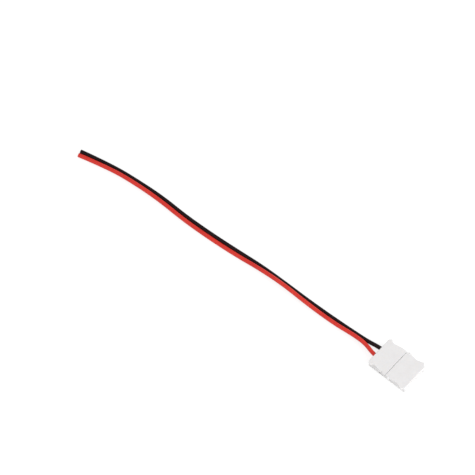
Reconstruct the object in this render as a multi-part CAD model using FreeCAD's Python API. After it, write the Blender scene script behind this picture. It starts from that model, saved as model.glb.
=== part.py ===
"""Snap-lid connector for a 10 mm wide two-conductor light strip, with a 150 mm lead.

The strip slides in from the +X end, under two brass spring contacts. A hinged lid
closes over it. At the other end a red and a black wire are crimped to the contacts
and held down by a fixed cover. All sizes are in millimetres. The origin is at the
bottom centre of the housing, +X points to the strip end and +Z points up.
"""
import FreeCAD
import Part
import math
import os

# The strip, and the room it slides in
strip_width = 10.0
strip_play = 0.3
strip_room = 0.4

# Lead: each wire is an insulated copper strand
lead_diameter = 1.7
strand_diameter = 0.8
wire_spacing = 4.0
jacket_grip = 2.95
bare_length = 0.6
strand_stub = 0.5
exit_run = 1.25

# Housing
housing_length = 18.9
lip_overhang = 0.3
wall_thick = 0.85
floor_thick = 0.9
bulkhead_thick = 0.85
base_corner_round = 0.5
base_chamfer = 0.2
slot_lead_in = 0.3
cell_play = 0.35
mouth_flare = 0.3
mouth_depth = 0.6

# Caps, which are the rear cover and the lid. Each overhang is past the skirt.
cap_thick = 1.15
skirt_thick = 0.4
skirt_lift = 0.7
seam_overhang = 0.42
waist_reach = 0.9
waist_rise = 0.18
front_wall = 0.7
corner_round = 0.4
edge_round = 0.25

# Clearances, and how far a piece reaches into what carries it
seat_gap = 0.05
slide_clear = 0.05
part_clear = 0.1
lead_clear = 0.05
lead_headroom = 0.15
crimp_clear = 0.05
root = 0.1

# Hinge. The tail is the part of the lid behind the hinge's axis, up to the seam.
seam_x = -0.39
seam_gap = 0.06
groove_half = 4.4
groove_set_back = 0.1
groove_chamfer = 0.06
tail_reach = 1.33
tail_round = 0.06
swing_clear = 0.06
stem_back = 0.1
pin_radius = 0.4
pin_clear = 0.05
pin_end_clear = 0.1
pin_chamfer = 0.1
ear_radius = 0.75
ear_length = 1.3
ear_end_wall = 0.3
dome_length = 0.35
dome_drop = 0.25

# Stamped contacts. The spring's places are measured from the hinge.
contact_thick = 0.25
contact_width = 1.5
contact_tip_width = 0.9
crimp_length = 2.0
crimp_seam = 0.12
spring_start = 2.2
spring_low_start = 3.6
spring_low_end = 4.0
spring_tip = 5.0
spring_lift = 0.15
spring_bend = 0.3
taper_start = 1.5
taper_end = 4.5

# Rear cover: outline, pegs, hold-down ribs and catches
cover_bulge = 1.96
cover_bulge_overhang = 0.55
cover_waist = 3.0
cover_waist_overhang = -0.22
cover_flare_overhang = 0.8
cover_corner_cut = 1.05
peg_radius = 0.5
peg_depth = 1.2
peg_play = 0.3
peg_inset = 1.15
peg_from_rear = 1.3
rib_thick = 0.4
rib_places = (0.7, 2.0)
wedge_length = 1.6
wedge_from_seam = 1.6
wedge_lift = 0.45
wedge_height = 0.8
wedge_reach = 0.3

# Lid: outline, slot, pressers, hooks and the rib down the middle
lid_bulge = 0.45
lid_bulge_overhang = 0.37
lid_waist_from_hinge = 3.75
lid_waist_overhang = 0.08
lid_flare_overhang = 1.03
lid_corner_cut = 1.35
slot_height = 1.1
slot_chamfer = 0.3
presser_from_hinge = 3.2
presser_length = 1.2
hook_from_hinge = 4.5
hook_length = 1.5
hook_height = 0.55
hook_ramp = 0.3
hook_depth = 0.15
middle_rib_thick = 0.8
middle_rib_lift = 0.2
middle_rib_start = 2.0

# Longer than any gap that a cutting tool has to clear, and a length that counts as none
beyond = 2.0
near = 0.001

# Heights that follow
lead_radius = lead_diameter / 2
strand_radius = strand_diameter / 2
deck_z = floor_thick + strip_room
contact_top_z = deck_z + contact_thick
wire_z = contact_top_z + crimp_clear + strand_radius
wall_top_z = wire_z + lead_radius + lead_headroom
cap_bottom_z = wall_top_z + seat_gap
top_z = cap_bottom_z + cap_thick
slot_top_z = floor_thick + slot_height
hook_top_z = skirt_lift + hook_height
wedge_bottom_z = skirt_lift + wedge_lift
wedge_top_z = wedge_bottom_z + wedge_height
peg_bottom_z = wall_top_z - peg_depth

# Lengths and widths that follow
front_x = housing_length / 2
rear_x = -housing_length / 2
base_front_x = front_x - lip_overhang
base_rear_x = rear_x + lip_overhang
front_wall_x = front_x - front_wall
channel_half = (strip_width + strip_play) / 2
base_half = channel_half + wall_thick
skirt_inner = base_half + slide_clear
skirt_outer = skirt_inner + skirt_thick
seam_half = skirt_outer + seam_overhang
ear_end = skirt_inner + ear_length
bore_end = ear_end - ear_end_wall
wire_y = wire_spacing / 2

# The ears are tangent to the top of the caps. The tail's corner passes the rear
# cover, the walls and the bulkhead, which are cut back to the radius of its swing.
hinge_z = top_z - ear_radius
tail_x = seam_x + seam_gap
hinge_x = tail_x + tail_reach
tail_sweep = math.hypot(tail_reach - tail_round, ear_radius - tail_round) + tail_round
swing_radius = tail_sweep + swing_clear
bore_radius = pin_radius + pin_clear
hook_rear_x = hinge_x + hook_from_hinge
hook_front_x = hook_rear_x + hook_length
presser_rear_x = hinge_x + presser_from_hinge

# Rear compartments, from the wire exit to the bulkhead
cradle_radius = lead_radius + lead_clear
jacket_end_x = base_rear_x + jacket_grip
cradle_front_x = jacket_end_x + part_clear
crimp_rear_x = jacket_end_x + bare_length
crimp_front_x = crimp_rear_x + crimp_length
bulkhead_rear_x = seam_x - bulkhead_thick
crimp_bore = strand_radius + crimp_clear
crimp_radius = crimp_bore + contact_thick
cell_half = crimp_radius + cell_play
notch_half = contact_width / 2 + part_clear
wedge_front_x = seam_x - wedge_from_seam
wedge_rear_x = wedge_front_x - wedge_length
peg_places = [
    (x, y)
    for x in (base_rear_x + peg_from_rear, bulkhead_rear_x - part_clear)
    for y in (-base_half + peg_inset, base_half - peg_inset)
]

# Routes of the two wires, their free points placed by a fit to the photograph's line.
# They start inside the housing, run out through the exit and lie on the surface.
# Red is rolled up over black.
red_route = [
    (jacket_end_x, -wire_y, wire_z),
    (base_rear_x - exit_run, -wire_y, wire_z),
    (-16.0, -0.20, 2.05),
    (-32.0, -1.24, 2.09),
    (-69.0, -1.90, 2.12),
    (-99.0, -5.22, 1.44),
    (-137.0, -4.70, 2.14),
    (-158.8, -10.42, 1.60),
]
black_route = [
    (jacket_end_x, wire_y, wire_z),
    (base_rear_x - exit_run, wire_y, wire_z),
    (-16.0, 1.04, 0.85),
    (-32.0, 0.03, 0.85),
    (-69.0, -0.72, 0.85),
    (-99.0, -3.48, 0.85),
    (-137.0, -3.57, 0.85),
    (-159.1, -8.50, 0.85),
]
# Tangent arcs between the runs take this share of the shorter run on each side
arc_share = 0.45


def vec(x, y, z):
    return FreeCAD.Vector(x, y, z)


def box(x0, x1, y0, y1, z0, z1):
    return Part.makeBox(x1 - x0, y1 - y0, z1 - z0, vec(x0, y0, z0))


def rod_x(radius, x0, x1, y, z):
    return Part.makeCylinder(radius, x1 - x0, vec(x0, y, z), vec(1, 0, 0))


def rod_y(radius, x, z, y0, y1):
    return Part.makeCylinder(radius, y1 - y0, vec(x, y0, z), vec(0, 1, 0))


def rod_z(radius, x, y, z0, z1):
    return Part.makeCylinder(radius, z1 - z0, vec(x, y, z0), vec(0, 0, 1))


def both_sides(shape):
    """The shape and its mirror image across the XZ plane."""
    return [shape, shape.mirror(vec(0, 0, 0), vec(0, 1, 0))]


def solid_of(shape):
    """Merge coplanar faces and return the one solid that remains."""
    clean = shape.removeSplitter()
    if len(clean.Solids) != 1:
        raise ValueError("expected one solid, found %d" % len(clean.Solids))
    return clean.Solids[0]


def face_of(edges):
    return Part.Face(Part.Wire(edges))


def polygon_face(corners):
    """A flat face with straight sides through the corners."""
    points = [vec(*corner) for corner in corners]
    return Part.Face(Part.makePolygon(points + points[:1]))


def line(a, b):
    return Part.LineSegment(vec(*a), vec(*b)).toShape()


def arc(a, through, b):
    return Part.Arc(vec(*a), vec(*through), vec(*b)).toShape()


def edges_where(shape, test):
    """Edges whose bounding box passes the test."""
    return [edge for edge in shape.Edges if test(edge.BoundBox)]


def along_y(bound, x, z):
    """True for the box of an edge that runs along Y at this x and z."""
    return (abs(bound.XMin - x) < near and abs(bound.XMax - x) < near
            and abs(bound.ZMin - z) < near and abs(bound.ZMax - z) < near)


def cap_plate(inner_x, bulge, waist, flare, end, z0, z1):
    """Top plate of a cap, symmetric in Y, from its inner edge to its outer end.

    Each of bulge, waist, flare and end is an x and a half width. From the inner
    edge the sides swell to the bulge, draw in round the waist, flare out and end in
    a cut corner. All upright edges but those at the inner edge are rounded.
    """
    out = math.copysign(1, end[0] - inner_x)
    into_waist = (waist[0] - out * waist_reach, waist[1] + waist_rise)
    out_of_waist = (waist[0] + out * waist_reach, waist[1] + waist_rise)
    half = face_of([
        line((inner_x, 0, z0), (inner_x, seam_half, z0)),
        line((inner_x, seam_half, z0), (*bulge, z0)),
        line((*bulge, z0), (*into_waist, z0)),
        arc((*into_waist, z0), (*waist, z0), (*out_of_waist, z0)),
        line((*out_of_waist, z0), (*flare, z0)),
        line((*flare, z0), (*end, z0)),
        line((*end, z0), (end[0], 0, z0)),
        line((end[0], 0, z0), (inner_x, 0, z0)),
    ])
    near_half, far_half = both_sides(half.extrude(vec(0, 0, z1 - z0)))
    plate = near_half.fuse(far_half).removeSplitter()

    def upright_outside(bound):
        return bound.ZLength > z1 - z0 - near and abs(bound.Center.x - inner_x) > near
    return plate.makeFillet(corner_round, edges_where(plate, upright_outside))


def cover_outline(z0, z1):
    flare_half = skirt_outer + cover_flare_overhang
    return cap_plate(seam_x,
                     (seam_x - cover_bulge, skirt_outer + cover_bulge_overhang),
                     (rear_x + cover_waist, skirt_outer + cover_waist_overhang),
                     (rear_x + cover_corner_cut, flare_half),
                     (rear_x, flare_half - cover_corner_cut), z0, z1)


def lid_outline(z0, z1):
    flare_half = skirt_outer + lid_flare_overhang
    return cap_plate(tail_x,
                     (hinge_x + ear_radius + lid_bulge, skirt_outer + lid_bulge_overhang),
                     (hinge_x + lid_waist_from_hinge, skirt_outer + lid_waist_overhang),
                     (front_x - lid_corner_cut, flare_half),
                     (front_x, flare_half - lid_corner_cut), z0, z1)


def round_top(plate, inner_x):
    """Round the top edge of a cap all along its outside, but not at inner_x."""
    def on_outside(bound):
        at_top = bound.ZMin > top_z - near
        return at_top and not along_y(bound, inner_x, top_z)
    return plate.makeFillet(edge_round, edges_where(plate, on_outside))


def base_housing():
    """Floor, side walls, rear block with the wire cells, and the hinge pins."""
    body = box(base_rear_x, base_front_x, -base_half, base_half, 0, wall_top_z)
    uprights = edges_where(body, lambda bound: bound.ZLength > wall_top_z - near)
    body = body.makeFillet(base_corner_round, uprights)
    under = edges_where(body, lambda bound: bound.ZMax < near)
    body = body.makeChamfer(base_chamfer, under)

    cuts = [
        box(seam_x, front_x, -channel_half, channel_half, floor_thick, top_z),
        box(front_wall_x - part_clear, front_x, -skirt_outer, skirt_outer, floor_thick, top_z),
    ]
    for side in (-1, 1):
        cuts += wire_cell_cuts(side * wire_y)
    cuts += peg_sockets()
    cuts += latch_grooves()
    cuts.append(tail_swing().common(box(hinge_x - beyond, hinge_x - stem_back,
                                        -base_half - beyond, base_half + beyond, 0, top_z)))
    body = body.cut(cuts)

    mouth_edge = edges_where(body, lambda bound: along_y(bound, base_front_x, floor_thick))
    body = body.makeChamfer(slot_lead_in, mouth_edge)

    stem = box(hinge_x - stem_back, hinge_x + pin_radius, channel_half, base_half,
               wall_top_z - root, hinge_z)
    for piece in both_sides(stem) + both_sides(hinge_pin()) + both_sides(snap_wedge()):
        body = body.fuse(piece)
    return solid_of(body)


def tail_swing():
    """The room that the lid's tail sweeps through as the lid opens, over the full width."""
    return rod_y(swing_radius, hinge_x, hinge_z, -ear_end - beyond, ear_end + beyond)


def hinge_pin():
    """Pin on top of the side wall that the lid's ear turns on, chamfered at its free end."""
    end = bore_end - pin_end_clear
    pin = rod_y(pin_radius, hinge_x, hinge_z, channel_half, end)
    rim = edges_where(pin, lambda bound: bound.YMin > end - near)
    return pin.makeChamfer(pin_chamfer, rim)


def wire_cell_cuts(y):
    """One wire's way in: bell mouth, round-bottomed cradle, crimp cell and notch."""
    outside_x = base_rear_x - beyond
    return [
        rod_x(cradle_radius, outside_x, cradle_front_x, y, wire_z),
        box(outside_x, cradle_front_x, y - cradle_radius, y + cradle_radius, wire_z, top_z),
        Part.makeCone(cradle_radius + mouth_flare, cradle_radius, mouth_depth,
                      vec(base_rear_x, y, wire_z), vec(1, 0, 0)),
        box(cradle_front_x, bulkhead_rear_x, y - cell_half, y + cell_half, deck_z, top_z),
        box(bulkhead_rear_x - root, seam_x + root, y - notch_half, y + notch_half,
            deck_z, top_z),
    ]


def peg_sockets():
    """Sockets in the rear block for the cover's four pegs."""
    return [rod_z(peg_radius + slide_clear, x, y, peg_bottom_z - peg_play, top_z)
            for x, y in peg_places]


def latch_grooves():
    """Arc-shaped grooves in the side walls, about the hinge, where the lid's hooks run."""
    inner = math.hypot(hook_rear_x - hinge_x, hinge_z - hook_top_z) - part_clear
    outer = math.hypot(hook_front_x - hinge_x, hinge_z - skirt_lift) + part_clear
    y0 = base_half - hook_depth
    y1 = base_half + beyond
    ring = rod_y(outer, hinge_x, hinge_z, y0, y1).cut(rod_y(inner, hinge_x, hinge_z, y0, y1))
    reach = box(hook_rear_x - beyond, hook_front_x + beyond, y0, y1,
                skirt_lift - part_clear, top_z)
    return both_sides(ring.common(reach))


def snap_wedge():
    """Ramped catch on the base's side, which the cover's skirt snaps over."""
    ramp = polygon_face([
        (wedge_rear_x, base_half - root, wedge_bottom_z),
        (wedge_rear_x, skirt_inner + wedge_reach, wedge_bottom_z),
        (wedge_rear_x, base_half, wedge_top_z),
        (wedge_rear_x, base_half - root, wedge_top_z),
    ])
    return ramp.extrude(vec(wedge_length, 0, 0))


def rear_cover():
    """Fixed cover over the wires, with skirts, pegs and hold-down ribs."""
    plate = round_top(cover_outline(cap_bottom_z, top_z), seam_x)
    groove_x = seam_x - groove_set_back
    plate = plate.cut(box(groove_x, seam_x + beyond, -groove_half, groove_half, 0, top_z + beyond))
    groove_edge = edges_where(plate, lambda bound: along_y(bound, groove_x, top_z))
    plate = plate.makeChamfer(groove_chamfer, groove_edge)

    skirt = box(base_rear_x, seam_x, skirt_inner, skirt_outer, skirt_lift, cap_bottom_z)
    window = box(wedge_rear_x - part_clear, wedge_front_x + part_clear,
                 skirt_inner - beyond, skirt_outer + beyond,
                 wedge_bottom_z - part_clear, wedge_top_z + part_clear)
    for piece in both_sides(skirt.cut(window)):
        plate = plate.fuse(piece)
    plate = plate.cut(tail_swing())

    for x, y in peg_places:
        plate = plate.fuse(rod_z(peg_radius, x, y, peg_bottom_z, cap_bottom_z + root))
    for side in (-1, 1):
        for rib in hold_down_ribs(side * wire_y):
            plate = plate.fuse(rib)
    return solid_of(plate)


def hold_down_ribs(y):
    """Ribs that hold one wire's jacket in its cradle, and its contact in the notch."""
    rib_half = cradle_radius - part_clear
    jacket_top = wire_z + lead_radius
    ribs = []
    for place in rib_places:
        x = base_rear_x + place
        ribs.append(box(x, x + rib_thick, y - rib_half, y + rib_half,
                        jacket_top + lead_clear, cap_bottom_z + root))
    ribs.append(box(bulkhead_rear_x + part_clear, seam_x - part_clear,
                    y - contact_width / 2, y + contact_width / 2,
                    contact_top_z + seat_gap, cap_bottom_z + root))
    return ribs


def clamp_lid():
    """Hinged lid: plate, skirts, front wall, ears, hooks and presser ribs."""
    plate = round_top(lid_outline(cap_bottom_z, top_z), tail_x)
    plate = plate.cut([tail_corner()] + both_sides(pin_pocket()))
    envelope = lid_outline(0, top_z)

    skirt = box(tail_x, front_x - front_wall / 2, skirt_inner, skirt_outer,
                skirt_lift, cap_bottom_z + root).common(envelope)
    lid = plate.fuse(front_panel().common(envelope))
    for piece in both_sides(skirt) + both_sides(hinge_ear()) + both_sides(latch_hook()):
        lid = lid.fuse(piece)
    for side in (-1, 1):
        lid = lid.fuse(presser(side * wire_y))
    lid = lid.fuse(box(hinge_x + middle_rib_start, front_wall_x,
                       -middle_rib_thick / 2, middle_rib_thick / 2,
                       slot_top_z + middle_rib_lift, cap_bottom_z + root))

    bore = rod_y(bore_radius, hinge_x, hinge_z, channel_half, bore_end)
    return solid_of(lid.cut(both_sides(bore)))


def front_panel():
    """Front wall of the lid, with the strip's slot and its lead-in."""
    front = box(front_wall_x, front_x, -skirt_outer, skirt_outer, skirt_lift,
                cap_bottom_z + root)
    slot = box(front_wall_x - beyond, front_x + beyond, -channel_half, channel_half,
               0, slot_top_z)
    over_floor = box(front_wall_x - beyond, front_x + beyond, -skirt_inner, skirt_inner,
                     0, floor_thick + part_clear)
    front = front.cut([slot, over_floor])
    lip = edges_where(front, lambda bound: along_y(bound, front_x, slot_top_z))
    return front.makeChamfer(slot_chamfer, lip)


def presser(y):
    """Rib under the lid that keeps the spring contact down on the strip."""
    return box(presser_rear_x, presser_rear_x + presser_length,
               y - contact_width / 2, y + contact_width / 2,
               contact_top_z + part_clear, cap_bottom_z + root)


def tail_corner():
    """What is cut from the lid's top corner beside the seam, to leave it round."""
    round_x = tail_x + tail_round
    round_z = top_z - tail_round
    corner = box(tail_x - beyond, round_x, -ear_end, ear_end, round_z, top_z + beyond)
    return corner.cut(rod_y(tail_round, round_x, round_z, -ear_end, ear_end))


def pin_pocket():
    """Pocket under the lid for the pin and its stem, which leaves a thin roof over them."""
    reach = pin_radius + part_clear
    return box(tail_x - beyond, hinge_x + reach, channel_half - part_clear, skirt_inner,
               0, hinge_z + reach)


def hinge_ear():
    """Round ear outside the wall, domed at its end, made by turning its half section."""
    shoulder = ear_end - dome_length
    rim_z = hinge_z + ear_radius
    dome_radius = (dome_length ** 2 + dome_drop ** 2) / (2 * dome_drop)
    half_turn = math.asin(dome_length / dome_radius) / 2
    on_dome = (hinge_x, shoulder + dome_radius * math.sin(half_turn),
               rim_z - dome_radius * (1 - math.cos(half_turn)))
    section = face_of([
        line((hinge_x, skirt_inner, hinge_z), (hinge_x, skirt_inner, rim_z)),
        line((hinge_x, skirt_inner, rim_z), (hinge_x, shoulder, rim_z)),
        arc((hinge_x, shoulder, rim_z), on_dome, (hinge_x, ear_end, rim_z - dome_drop)),
        line((hinge_x, ear_end, rim_z - dome_drop), (hinge_x, ear_end, hinge_z)),
        line((hinge_x, ear_end, hinge_z), (hinge_x, skirt_inner, hinge_z)),
    ])
    return section.revolve(vec(hinge_x, 0, hinge_z), vec(0, 1, 0), 360)


def latch_hook():
    """Hook inside the lid's skirt, with a ramp below it."""
    tip = base_half - hook_depth + slide_clear
    profile = polygon_face([
        (hook_rear_x, skirt_inner + root, skirt_lift),
        (hook_rear_x, skirt_inner, skirt_lift),
        (hook_rear_x, tip, skirt_lift + hook_ramp),
        (hook_rear_x, tip, hook_top_z),
        (hook_rear_x, skirt_inner + root, hook_top_z),
    ])
    return profile.extrude(vec(hook_length, 0, 0))


def contact(side):
    """Stamped contact: crimp barrel, flat run through the bulkhead and spring finger."""
    y = side * wire_y
    low_z = floor_thick + spring_lift
    underside = [
        (crimp_rear_x, deck_z),
        (hinge_x + spring_start, deck_z),
        (hinge_x + spring_low_start, low_z),
        (hinge_x + spring_low_end, low_z),
        (hinge_x + spring_tip, deck_z + spring_lift),
    ]
    top_side = [(x, z + contact_thick) for x, z in reversed(underside)]
    section = polygon_face([(x, y - contact_width / 2, z) for x, z in underside + top_side])
    stamping = section.extrude(vec(0, contact_width, 0))
    bends = edges_where(stamping, lambda bound: bound.YLength > contact_width - near
                        and crimp_front_x < bound.XMin < hinge_x + spring_tip - near)
    stamping = stamping.makeFillet(spring_bend, bends)
    stamping = stamping.cut([piece.translated(vec(0, y, 0)) for piece in both_sides(tip_trim())])

    stamping = stamping.fuse(rod_x(crimp_radius, crimp_rear_x, crimp_front_x, y, wire_z))
    bore = rod_x(crimp_bore, crimp_rear_x - beyond, crimp_front_x + beyond, y, wire_z)
    seam = box(crimp_rear_x - beyond, crimp_front_x + beyond, y - crimp_seam / 2,
               y + crimp_seam / 2, wire_z, top_z)
    return solid_of(stamping.cut([bore, seam]))


def tip_trim():
    """What is cut from one side of a spring finger, to narrow it towards its tip."""
    far_x = hinge_x + spring_tip + beyond
    outline = polygon_face([
        (far_x, contact_tip_width / 2, 0),
        (hinge_x + taper_end, contact_tip_width / 2, 0),
        (hinge_x + taper_start, contact_width / 2, 0),
        (hinge_x + taper_start, contact_width, 0),
        (far_x, contact_width, 0),
    ])
    return outline.extrude(vec(0, 0, top_z))


def strands(side):
    """Bare copper strand from the end of the jacket through the crimp barrel."""
    return rod_x(strand_radius, jacket_end_x, crimp_front_x + strand_stub, side * wire_y, wire_z)


def tube_along(points, radius, name):
    """A round rod along straight runs joined by tangent arcs, with its radii printed."""
    corners = [vec(*point) for point in points]
    edges = []
    start = corners[0]
    radii = []
    for before, corner, after in zip(corners, corners[1:], corners[2:]):
        way_in = (corner - before).normalize()
        way_out = (after - corner).normalize()
        turn = way_in.getAngle(way_out)
        reach = arc_share * min((corner - before).Length, (after - corner).Length)
        bend = reach / math.tan(turn / 2)
        radii.append(bend)
        arc_start = corner - way_in * reach
        arc_end = corner + way_out * reach
        inward = (way_out - way_in).normalize()
        middle = corner + inward * (bend / math.cos(turn / 2) - bend)
        edges.append(Part.LineSegment(start, arc_start).toShape())
        edges.append(Part.Arc(arc_start, middle, arc_end).toShape())
        start = arc_end
    edges.append(Part.LineSegment(start, corners[-1]).toShape())
    path = Part.Wire(edges)
    circle = Part.makeCircle(radius, corners[0], corners[1] - corners[0])
    rod = path.makePipeShell([Part.Wire([circle])], True, False)
    print(name, "length %.1f" % path.Length, "smallest radius %.1f" % min(radii),
          "radii", " ".join("%.0f" % value for value in radii),
          "volume over section times length %.4f"
          % (rod.Volume / (math.pi * radius ** 2 * path.Length)))
    return rod


nodes = {
    "base_housing": base_housing(),
    "rear_cover": rear_cover(),
    "clamp_lid": clamp_lid(),
    "contact_red": contact(-1),
    "contact_black": contact(1),
    "strands_red": strands(-1),
    "strands_black": strands(1),
    "lead_red": tube_along(red_route, lead_radius, "lead_red"),
    "lead_black": tube_along(black_route, lead_radius, "lead_black"),
}

os.makedirs("parts", exist_ok=True)
for name, shape in nodes.items():
    shape.exportStep("parts/" + name + ".step")
    bound = shape.optimalBoundingBox(False)
    print(name, shape.ShapeType, "valid", shape.isValid(), "volume %.2f" % shape.Volume,
          "x %.2f %.2f y %.2f %.2f z %.2f %.2f" % (bound.XMin, bound.XMax, bound.YMin,
                                                   bound.YMax, bound.ZMin, bound.ZMax))
print("hinge at x %.4f z %.4f" % (hinge_x, hinge_z))
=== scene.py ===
import math

import bmesh
import bpy
from mathutils import Matrix, Vector


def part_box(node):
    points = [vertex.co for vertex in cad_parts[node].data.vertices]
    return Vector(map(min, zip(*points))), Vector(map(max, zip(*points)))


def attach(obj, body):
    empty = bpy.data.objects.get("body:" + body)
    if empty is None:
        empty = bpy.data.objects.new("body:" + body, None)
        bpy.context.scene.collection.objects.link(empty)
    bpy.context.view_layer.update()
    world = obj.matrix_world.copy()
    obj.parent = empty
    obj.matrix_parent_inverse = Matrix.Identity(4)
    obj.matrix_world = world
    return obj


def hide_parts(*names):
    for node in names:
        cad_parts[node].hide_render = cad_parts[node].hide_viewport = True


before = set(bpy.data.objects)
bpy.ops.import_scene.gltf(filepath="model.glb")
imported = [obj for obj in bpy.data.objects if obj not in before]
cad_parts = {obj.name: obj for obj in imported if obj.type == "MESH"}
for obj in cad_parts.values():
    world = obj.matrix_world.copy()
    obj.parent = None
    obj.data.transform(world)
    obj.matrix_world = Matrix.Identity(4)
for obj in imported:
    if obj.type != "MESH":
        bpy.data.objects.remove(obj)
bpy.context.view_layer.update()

MM = 0.001
HOUSING = "housing"

# The photograph's view: where it looks from, and the ground point at its centre
IMAGE_PIXELS = 475
METRES_PER_PIXEL = 0.401 * MM
VIEW_AZIMUTH = math.radians(40.4)
VIEW_ELEVATION = math.radians(63.7)
VIEW_CENTRE = Vector((-0.08623, 0.0032, 0.0))
LENS = 1200.0
SENSOR = 36.0
NEAREST_SEEN = 0.1
FARTHEST_SEEN = 40.0

# The lead: it starts as in the part's source and ends within a millimetre of it. Its
# other points were set against the photograph. Red is rolled up over black.
WIRE_DIAMETER = 0.0017
CONDUCTOR_DIAMETER = 0.0008
RED_ROUTE = [
    (-0.0062, -0.00200, 0.00200),
    (-0.0104, -0.00200, 0.00200),
    (-0.0160, -0.00035, 0.00185),
    (-0.0220, -0.00045, 0.00185),
    (-0.0320, -0.00140, 0.00130),
    (-0.0450, -0.00180, 0.00160),
    (-0.0580, -0.00160, 0.00205),
    (-0.0700, -0.00225, 0.00160),
    (-0.0820, -0.00355, 0.00090),
    (-0.0950, -0.00460, 0.00095),
    (-0.1080, -0.00510, 0.00105),
    (-0.1200, -0.00475, 0.00125),
    (-0.1320, -0.00540, 0.00150),
    (-0.1450, -0.00695, 0.00140),
    (-0.1586, -0.01040, 0.00085),
]
BLACK_ROUTE = [
    (-0.0062, 0.00200, 0.00200),
    (-0.0104, 0.00200, 0.00200),
    (-0.0160, 0.00130, 0.00120),
    (-0.0220, 0.00095, 0.00085),
    (-0.0320, 0.00030, 0.00085),
    (-0.0450, -0.00025, 0.00085),
    (-0.0580, -0.00035, 0.00085),
    (-0.0700, -0.00065, 0.00085),
    (-0.0820, -0.00180, 0.00085),
    (-0.0950, -0.00285, 0.00085),
    (-0.1080, -0.00340, 0.00085),
    (-0.1200, -0.00305, 0.00085),
    (-0.1320, -0.00385, 0.00085),
    (-0.1450, -0.00530, 0.00085),
    (-0.1590, -0.00860, 0.00085),
]


def add_camera():
    """Camera at the photograph's angle, far off behind a long lens."""
    right = Vector((math.cos(VIEW_AZIMUTH), math.sin(VIEW_AZIMUTH), 0.0))
    back = Vector((
        math.sin(VIEW_AZIMUTH) * math.cos(VIEW_ELEVATION),
        -math.cos(VIEW_AZIMUTH) * math.cos(VIEW_ELEVATION),
        math.sin(VIEW_ELEVATION),
    ))
    up = back.cross(right)
    distance = IMAGE_PIXELS * METRES_PER_PIXEL * LENS / SENSOR
    data = bpy.data.cameras.new("camera")
    data.lens = LENS
    data.sensor_width = SENSOR
    data.clip_start = NEAREST_SEEN
    data.clip_end = FARTHEST_SEEN
    camera = bpy.data.objects.new("camera", data)
    turn = Matrix((right, up, back)).transposed()
    camera.matrix_world = Matrix.Translation(VIEW_CENTRE + back * distance) @ turn.to_4x4()
    bpy.context.scene.collection.objects.link(camera)
    bpy.context.scene.camera = camera


# Materials

def connect(tree, value, socket):
    """Link a node's output to the socket, or set the socket to a plain value."""
    if isinstance(value, bpy.types.NodeSocket):
        tree.links.new(value, socket)
    else:
        socket.default_value = value


def node(tree, kind, inputs=(), **settings):
    """Add a shader node, with its settings and its inputs by name or place."""
    made = tree.nodes.new(kind)
    for name, value in settings.items():
        setattr(made, name, value)
    for key, value in dict(inputs).items():
        connect(tree, value, made.inputs[key])
    return made


def new_material(name, **sockets):
    """A material with one Principled shader, its node tree and that shader."""
    material = bpy.data.materials.new(name)
    material.use_nodes = True
    tree = material.node_tree
    tree.nodes.clear()
    output = node(tree, "ShaderNodeOutputMaterial")
    surface = node(tree, "ShaderNodeBsdfPrincipled")
    for key, value in sockets.items():
        surface.inputs[key.replace("_", " ")].default_value = value
    tree.links.new(surface.outputs["BSDF"], output.inputs["Surface"])
    return material, tree, surface


def noise(tree, where, scale, detail=3.0, stretch=(1.0, 1.0, 1.0)):
    """Noise of so many features a metre, stretched along the axes."""
    mapping = node(tree, "ShaderNodeMapping", {"Vector": where, "Scale": stretch})
    made = node(tree, "ShaderNodeTexNoise",
                {"Vector": mapping.outputs["Vector"], "Scale": scale, "Detail": detail})
    return made.outputs["Fac"]


def spread(tree, value, low, high, start=0.3, end=0.7):
    """Map a noise value onto a range, clamped."""
    made = node(tree, "ShaderNodeMapRange",
                {"Value": value, "From Min": start, "From Max": end,
                 "To Min": low, "To Max": high})
    return made.outputs["Result"]


def blend_colours(tree, factor, first, second):
    """Mix two colours by a factor from 0 to 1."""
    made = node(tree, "ShaderNodeMix", data_type="RGBA")
    colours = [s for s in made.inputs if s.type == "RGBA"]
    connect(tree, factor, made.inputs[0])
    connect(tree, first, colours[0])
    connect(tree, second, colours[1])
    return [s for s in made.outputs if s.type == "RGBA"][0]


def bump(tree, height, depth, below=None):
    """Bump of a real depth in metres, on top of another if one is given."""
    inputs = {"Height": height, "Distance": depth, "Strength": 1.0}
    if below is not None:
        inputs["Normal"] = below
    return node(tree, "ShaderNodeBump", inputs).outputs["Normal"]


EDGE_SOFTNESS = 0.06 * MM
# How far occlusion looks for creases, and the dusty grey painted there as crease shade and
# dust
CREASE_REACH = 0.5 * MM
CREASE_SHADE_AND_DUST = (0.66, 0.635, 0.60, 1.0)
# Scales of noise are in features a metre
MOTTLE_SCALE = 260.0
SHADE_AND_DUST_SCALE = 1400.0
SCUFF_SCALE = 900.0
SCUFF_STRETCH = (0.35, 1.6, 1.0)
WAVE_SCALE = 300.0
WAVE_DEPTH = 0.03 * MM
GRAIN_SCALE = 11000.0
GRAIN_DEPTH = 0.006 * MM


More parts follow.
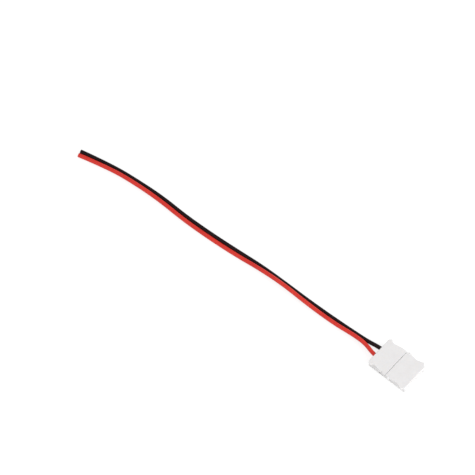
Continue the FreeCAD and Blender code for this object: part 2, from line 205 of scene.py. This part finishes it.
def white_plastic():
    """Satin white moulding: fine spark-eroded grain, faint mottle, painted shade and dust in
    the creases.
    """
    material, tree, surface = new_material(
        "white_plastic", IOR=1.49, Specular_IOR_Level=0.30,
        Subsurface_Weight=0.25, Subsurface_Scale=0.5 * MM)
    surface.inputs["Subsurface Radius"].default_value = (1.0, 0.95, 0.9)
    place = node(tree, "ShaderNodeTexCoord").outputs["Object"]

    mottle = noise(tree, place, MOTTLE_SCALE)
    clean = blend_colours(tree, spread(tree, mottle, 0.0, 1.0),
                          (0.835, 0.820, 0.820, 1.0), (0.865, 0.852, 0.852, 1.0))
    # Painted shade: an occlusion mask darkens the colour towards a dusty grey in creases,
    # seams and recesses, in noisy patches; partly dust, partly painted crease shade
    crease = node(tree, "ShaderNodeAmbientOcclusion", {"Distance": CREASE_REACH}, samples=8)
    shade_and_dust_mask = spread(tree, crease.outputs["AO"], 1.0, 0.0, 0.25, 0.85)
    patchy_shade_and_dust = node(tree, "ShaderNodeMath", operation="MULTIPLY")
    connect(tree, shade_and_dust_mask, patchy_shade_and_dust.inputs[0])
    connect(tree, spread(tree, noise(tree, place, SHADE_AND_DUST_SCALE), 0.05, 0.35), patchy_shade_and_dust.inputs[1])
    colour = blend_colours(tree, patchy_shade_and_dust.outputs["Value"], clean, CREASE_SHADE_AND_DUST)
    connect(tree, colour, surface.inputs["Base Color"])

    scuff = noise(tree, place, SCUFF_SCALE, 2.0, SCUFF_STRETCH)
    connect(tree, spread(tree, scuff, 0.34, 0.50), surface.inputs["Roughness"])
    soft_edges = node(tree, "ShaderNodeBevel", {"Radius": EDGE_SOFTNESS}, samples=4)
    wave = bump(tree, noise(tree, place, WAVE_SCALE, 1.0), WAVE_DEPTH,
                soft_edges.outputs["Normal"])
    grain = bump(tree, noise(tree, place, GRAIN_SCALE, 2.0), GRAIN_DEPTH, wave)
    connect(tree, grain, surface.inputs["Normal"])
    return material


TONE_SCALE = 220.0
SMEAR_SCALE = 700.0
DRAW_LINES = (18.0, 46.0, 1.0)
DRAW_LINE_DEPTH = 0.020 * MM
DIMPLE_SCALE = 2600.0
DIMPLE_DEPTH = 0.008 * MM


def insulation(name, base, faded, roughness, gloss):
    """Extruded soft PVC: fine lines along the wire, slow changes of tone and gloss."""
    material, tree, surface = new_material(name, IOR=1.53, Specular_IOR_Level=gloss)
    along = node(tree, "ShaderNodeTexCoord").outputs["UV"]
    place = node(tree, "ShaderNodeTexCoord").outputs["Object"]
    tone = spread(tree, noise(tree, place, TONE_SCALE, 4.0), 0.0, 1.0)
    connect(tree, blend_colours(tree, tone, base, faded), surface.inputs["Base Color"])
    smear = noise(tree, place, SMEAR_SCALE, 3.0)
    connect(tree, spread(tree, smear, roughness - 0.06, roughness + 0.10),
            surface.inputs["Roughness"])
    lines = noise(tree, along, 1.0, 2.0, DRAW_LINES)
    dimples = noise(tree, place, DIMPLE_SCALE, 2.0)
    rough = bump(tree, lines, DRAW_LINE_DEPTH)
    connect(tree, bump(tree, dimples, DIMPLE_DEPTH, rough), surface.inputs["Normal"])
    return material


TARNISH_SCALE = 900.0
METAL_LINE_SCALE = 4000.0
METAL_LINE_DEPTH = 0.004 * MM


def metal(name, bright, tarnished, roughness, grain_stretch):
    """Drawn or rolled metal: fine grain one way, tarnish in patches."""
    material, tree, surface = new_material(name, Metallic=1.0)
    place = node(tree, "ShaderNodeTexCoord").outputs["Object"]
    patch = spread(tree, noise(tree, place, TARNISH_SCALE, 4.0), 0.0, 1.0)
    connect(tree, blend_colours(tree, patch, bright, tarnished), surface.inputs["Base Color"])
    lines = noise(tree, place, METAL_LINE_SCALE, 3.0, grain_stretch)
    connect(tree, spread(tree, lines, roughness - 0.08, roughness + 0.12),
            surface.inputs["Roughness"])
    connect(tree, bump(tree, lines, METAL_LINE_DEPTH), surface.inputs["Normal"])
    return material


plastic = white_plastic()
red_pvc = insulation("red_insulation", (0.66, 0.021, 0.012, 1.0), (0.74, 0.033, 0.018, 1.0),
                     0.40, 0.35)
black_pvc = insulation("black_insulation", (0.007, 0.002, 0.003, 1.0),
                       (0.015, 0.006, 0.007, 1.0), 0.40, 0.10)
brass = metal("contact_brass", (0.83, 0.68, 0.38, 1.0), (0.70, 0.52, 0.26, 1.0), 0.28,
              (0.12, 1.0, 1.0))
copper = metal("copper", (0.90, 0.50, 0.32, 1.0), (0.72, 0.36, 0.22, 1.0), 0.30,
               (0.2, 1.0, 1.0))


# Pieces

def ride_as(piece, material):
    """Give a new piece its material and slot, and let it ride on the housing."""
    piece.data.materials.append(material)
    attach(piece, HOUSING)
    return piece


def mesh_object(name, bm):
    """A smooth-shaded object from a bmesh, with its normals facing out."""
    bmesh.ops.recalc_face_normals(bm, faces=bm.faces)
    for face in bm.faces:
        face.smooth = True
    mesh = bpy.data.meshes.new(name)
    bm.to_mesh(mesh)
    bm.free()
    made = bpy.data.objects.new(name, mesh)
    bpy.context.scene.collection.objects.link(made)
    return made


STEPS_ALONG = 16
STEPS_ROUND = 12


def route_curve(name, route, thick):
    """A smooth curve whose control points are the route's points."""
    curve = bpy.data.curves.new(name, "CURVE")
    curve.dimensions = "3D"
    curve.resolution_u = STEPS_ALONG
    curve.bevel_depth = thick / 2
    curve.bevel_resolution = STEPS_ROUND
    curve.use_fill_caps = thick > 0
    spline = curve.splines.new("NURBS")
    spline.points.add(len(route) - 1)
    for point, place in zip(spline.points, route):
        point.co = (*place, 1.0)
    spline.order_u = 3
    spline.use_endpoint_u = True
    made = bpy.data.objects.new(name, curve)
    bpy.context.scene.collection.objects.link(made)
    return made


def points_along(route):
    """Points read from the route's smooth curve, from the housing outwards."""
    bare = route_curve("bare_route", route, 0.0)
    bpy.context.view_layer.update()
    evaluated = bare.evaluated_get(bpy.context.evaluated_depsgraph_get())
    mesh = bpy.data.meshes.new_from_object(evaluated)
    points = [vertex.co.copy() for vertex in mesh.vertices]
    bpy.data.objects.remove(bare)
    bpy.data.meshes.remove(mesh)
    return points


def across(direction):
    """Two unit vectors square to a direction."""
    side = direction.cross(Vector((0.0, 0.0, 1.0))).normalized()
    return side, direction.cross(side).normalized()


def ring_places(radius, centre, side, up, count):
    """Points evenly round a circle."""
    return [centre + side * (radius * math.cos(turn)) + up * (radius * math.sin(turn))
            for turn in (2 * math.pi * i / count for i in range(count))]


def add_tube(bm, rings):
    """Join rings of points into a closed tube."""
    loops = [[bm.verts.new(place) for place in ring] for ring in rings]
    count = len(loops[0])
    for first, second in zip(loops, loops[1:]):
        for i in range(count):
            j = (i + 1) % count
            bm.faces.new((first[i], first[j], second[j], second[i]))
    bm.faces.new(loops[0])
    bm.faces.new(loops[-1])


STRAND_RADIUS = CONDUCTOR_DIAMETER / 10
STRAND_LAYERS = ((1, 0.0), (6, 2.0), (12, 4.0))
STRAND_SIDES = 10
# The domed tip of a strand, as shares of its radius
TIP_WIDTH = 0.7
TIP_RISE = 0.3


def strand_places():
    """Where the strands of a conductor lie, as turn and distance from its middle."""
    places = []
    for count, reach in STRAND_LAYERS:
        for i in range(count):
            places.append((2 * math.pi * i / count, reach * STRAND_RADIUS))
    return places


def conductor(name, start, direction, length, lay_length, steps):
    """A bundle of twisted strands along a straight line, cut square, ends a little domed."""
    side, up = across(direction)
    bm = bmesh.new()
    for turn, reach in strand_places():
        rings = []
        for step in range(steps + 1):
            along = length * step / steps
            angle = turn + 2 * math.pi * along / lay_length
            centre = (start + direction * along + side * (reach * math.cos(angle))
                      + up * (reach * math.sin(angle)))
            rings.append(ring_places(STRAND_RADIUS, centre, side, up, STRAND_SIDES))
        tip = rings[-1]
        middle = sum(tip, Vector()) / len(tip)
        inner = [middle + (place - middle) * TIP_WIDTH + direction * (STRAND_RADIUS * TIP_RISE)
                 for place in tip]
        add_tube(bm, rings + [inner])
    return mesh_object(name, bm)


CUT_END_DEPTH = 0.6 * MM
CUT_END_STAND = 0.04 * MM
TWIST_LENGTH = 9 * MM
CUT_END_STEPS = 2
CRIMP_STEPS = 10


def add_wire(colour, route, material):
    """One insulated wire, its copper at the cut end and its strands in the crimp."""
    wire = ride_as(route_curve(colour + "_wire", route, WIRE_DIAMETER), material)
    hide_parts("lead_" + colour)

    end = Vector(route[-1])
    outward = (end - Vector(route[-2])).normalized()
    cut_end = conductor(colour + "_cut_end", end - outward * CUT_END_DEPTH, outward,
                        CUT_END_DEPTH + CUT_END_STAND, TWIST_LENGTH, CUT_END_STEPS)
    ride_as(cut_end, copper)

    low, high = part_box("strands_" + colour)
    stub = Vector((low.x, (low.y + high.y) / 2, (low.z + high.z) / 2))
    crimped = conductor(colour + "_crimped_strands", stub, Vector((1.0, 0.0, 0.0)),
                        high.x - low.x - STRAND_RADIUS, TWIST_LENGTH, CRIMP_STEPS)
    ride_as(crimped, copper)
    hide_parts("strands_" + colour)


WEB_START_X = -0.0168
WEB_REACH = 0.55 * MM
WEB_THICK = 0.34 * MM
WEB_TAPER = 4 * MM
# Outline of the web, across and through it, as shares of its reach and half thickness
WEB_OUTLINE = ((-1, -1.6), (-0.4, -1), (0.4, -1), (1, -1.6),
               (1, 1.6), (0.4, 1), (-0.4, 1), (-1, 1.6))


def add_web():
    """The thin web that bonds the two wires from the split to their ends."""
    red_line = [p for p in points_along(RED_ROUTE) if p.x < WEB_START_X]
    black_line = points_along(BLACK_ROUTE)
    bm = bmesh.new()
    rings = []
    for before, here, after in zip(red_line, red_line[1:], red_line[2:]):
        along = (after - before).normalized()
        other = min(black_line, key=lambda p: (p - here).length)
        over = other - here
        over -= along * over.dot(along)
        middle = here + over / 2
        over = over.normalized()
        out = along.cross(over)
        taper = min(1.0, (red_line[0] - here).length / WEB_TAPER)
        half = WEB_THICK / 2 * taper
        rings.append([middle + over * (WEB_REACH * x) + out * (half * z)
                      for x, z in WEB_OUTLINE])
    add_tube(bm, rings)
    web = mesh_object("bond_web", bm)
    return ride_as(web, red_pvc)


def dress_cad_nodes():
    """Give every CAD node its finish. The plastic's own shader softens its edges."""
    finishes = {
        "base_housing": plastic,
        "rear_cover": plastic,
        "clamp_lid": plastic,
        "contact_red": brass,
        "contact_black": brass,
        "strands_red": copper,
        "strands_black": copper,
        "lead_red": red_pvc,
        "lead_black": black_pvc,
    }
    for name, material in finishes.items():
        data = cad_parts[name].data
        data.materials.clear()
        data.materials.append(material)


# Stage and light

FLOOR_HALF = 1.5
FLOOR_Z = -0.02 * MM
FLOOR_COLOUR = (0.8, 0.8, 0.8, 1.0)
WHITE = (1.0, 1.0, 1.0, 1.0)
# Lamps: name, place, size, power, and whether glossy surfaces mirror it
KEY = ("key", (0.85, 0.55, 0.85), 0.55, 3.45, True)
LOW_KEY = ("low_key", (1.1, 0.0, 0.40), 0.50, 4.75, False)
FILL = ("fill", (-0.1, -1.1, 0.70), 0.60, 1.35, True)
LIGHT_TARGET = Vector((-0.05, 0.0, 0.0))
SKY_STRENGTH = 0.70
FLOOR_SHARE = 0.30
FLOOR_GLOW = 0.80


def add_lamp(name, place, size, power, mirrored):
    """A disc lamp, aimed at the object, which glossy surfaces mirror or not."""
    data = bpy.data.lights.new(name, "AREA")
    data.shape = "DISK"
    data.size = size
    data.energy = power
    lamp = bpy.data.objects.new(name, data)
    lamp.location = place
    lamp.visible_glossy = mirrored
    lamp.rotation_euler = (LIGHT_TARGET - Vector(place)).to_track_quat("-Z", "Y").to_euler()
    bpy.context.scene.collection.objects.link(lamp)


def seen_directly(tree):
    """1 for camera, glossy and transmission rays, else 0."""
    path = node(tree, "ShaderNodeLightPath")
    first = node(tree, "ShaderNodeMath", operation="MAXIMUM")
    connect(tree, path.outputs["Is Camera Ray"], first.inputs[0])
    connect(tree, path.outputs["Is Glossy Ray"], first.inputs[1])
    second = node(tree, "ShaderNodeMath", operation="MAXIMUM")
    connect(tree, first.outputs["Value"], second.inputs[0])
    connect(tree, path.outputs["Is Transmission Ray"], second.inputs[1])
    return second.outputs["Value"]


def add_sky():
    """A white surround, which lights the object at a plain level."""
    world = bpy.data.worlds.new("studio")
    world.use_nodes = True
    tree = world.node_tree
    tree.nodes.clear()
    output = node(tree, "ShaderNodeOutputWorld")
    light = node(tree, "ShaderNodeBackground", {"Color": WHITE, "Strength": SKY_STRENGTH})
    shown = node(tree, "ShaderNodeBackground", {"Color": WHITE, "Strength": 1.0})
    mix = node(tree, "ShaderNodeMixShader", {0: seen_directly(tree)})
    tree.links.new(light.outputs["Background"], mix.inputs[1])
    tree.links.new(shown.outputs["Background"], mix.inputs[2])
    tree.links.new(mix.outputs["Shader"], output.inputs["Surface"])
    bpy.context.scene.world = world


def add_floor():
    """A white sweep that the camera sees as white, with the object's soft shadow on it."""
    bm = bmesh.new()
    corners = [(-FLOOR_HALF, -FLOOR_HALF), (FLOOR_HALF, -FLOOR_HALF),
               (FLOOR_HALF, FLOOR_HALF), (-FLOOR_HALF, FLOOR_HALF)]
    bm.faces.new([bm.verts.new((x, y, FLOOR_Z)) for x, y in corners])
    floor = mesh_object("floor", bm)
    material = bpy.data.materials.new("floor")
    material.use_nodes = True
    tree = material.node_tree
    tree.nodes.clear()
    output = node(tree, "ShaderNodeOutputMaterial")
    plain = node(tree, "ShaderNodeBsdfDiffuse", {"Color": FLOOR_COLOUR})
    shaded = node(tree, "ShaderNodeBsdfDiffuse",
                  {"Color": (FLOOR_SHARE, FLOOR_SHARE, FLOOR_SHARE, 1.0)})
    glow = node(tree, "ShaderNodeEmission", {"Strength": FLOOR_GLOW})
    pale = node(tree, "ShaderNodeAddShader")
    tree.links.new(shaded.outputs["BSDF"], pale.inputs[0])
    tree.links.new(glow.outputs["Emission"], pale.inputs[1])
    mix = node(tree, "ShaderNodeMixShader", {0: seen_directly(tree)})
    tree.links.new(plain.outputs["BSDF"], mix.inputs[1])
    tree.links.new(pale.outputs["Shader"], mix.inputs[2])
    tree.links.new(mix.outputs["Shader"], output.inputs["Surface"])
    floor.data.materials.append(material)


add_camera()
bond = add_web()
add_wire("red", RED_ROUTE, red_pvc)
add_wire("black", BLACK_ROUTE, black_pvc)
dress_cad_nodes()
add_sky()
add_floor()
for lamp in (KEY, LOW_KEY, FILL):
    add_lamp(*lamp)
bpy.context.scene.view_settings.view_transform = "Standard"
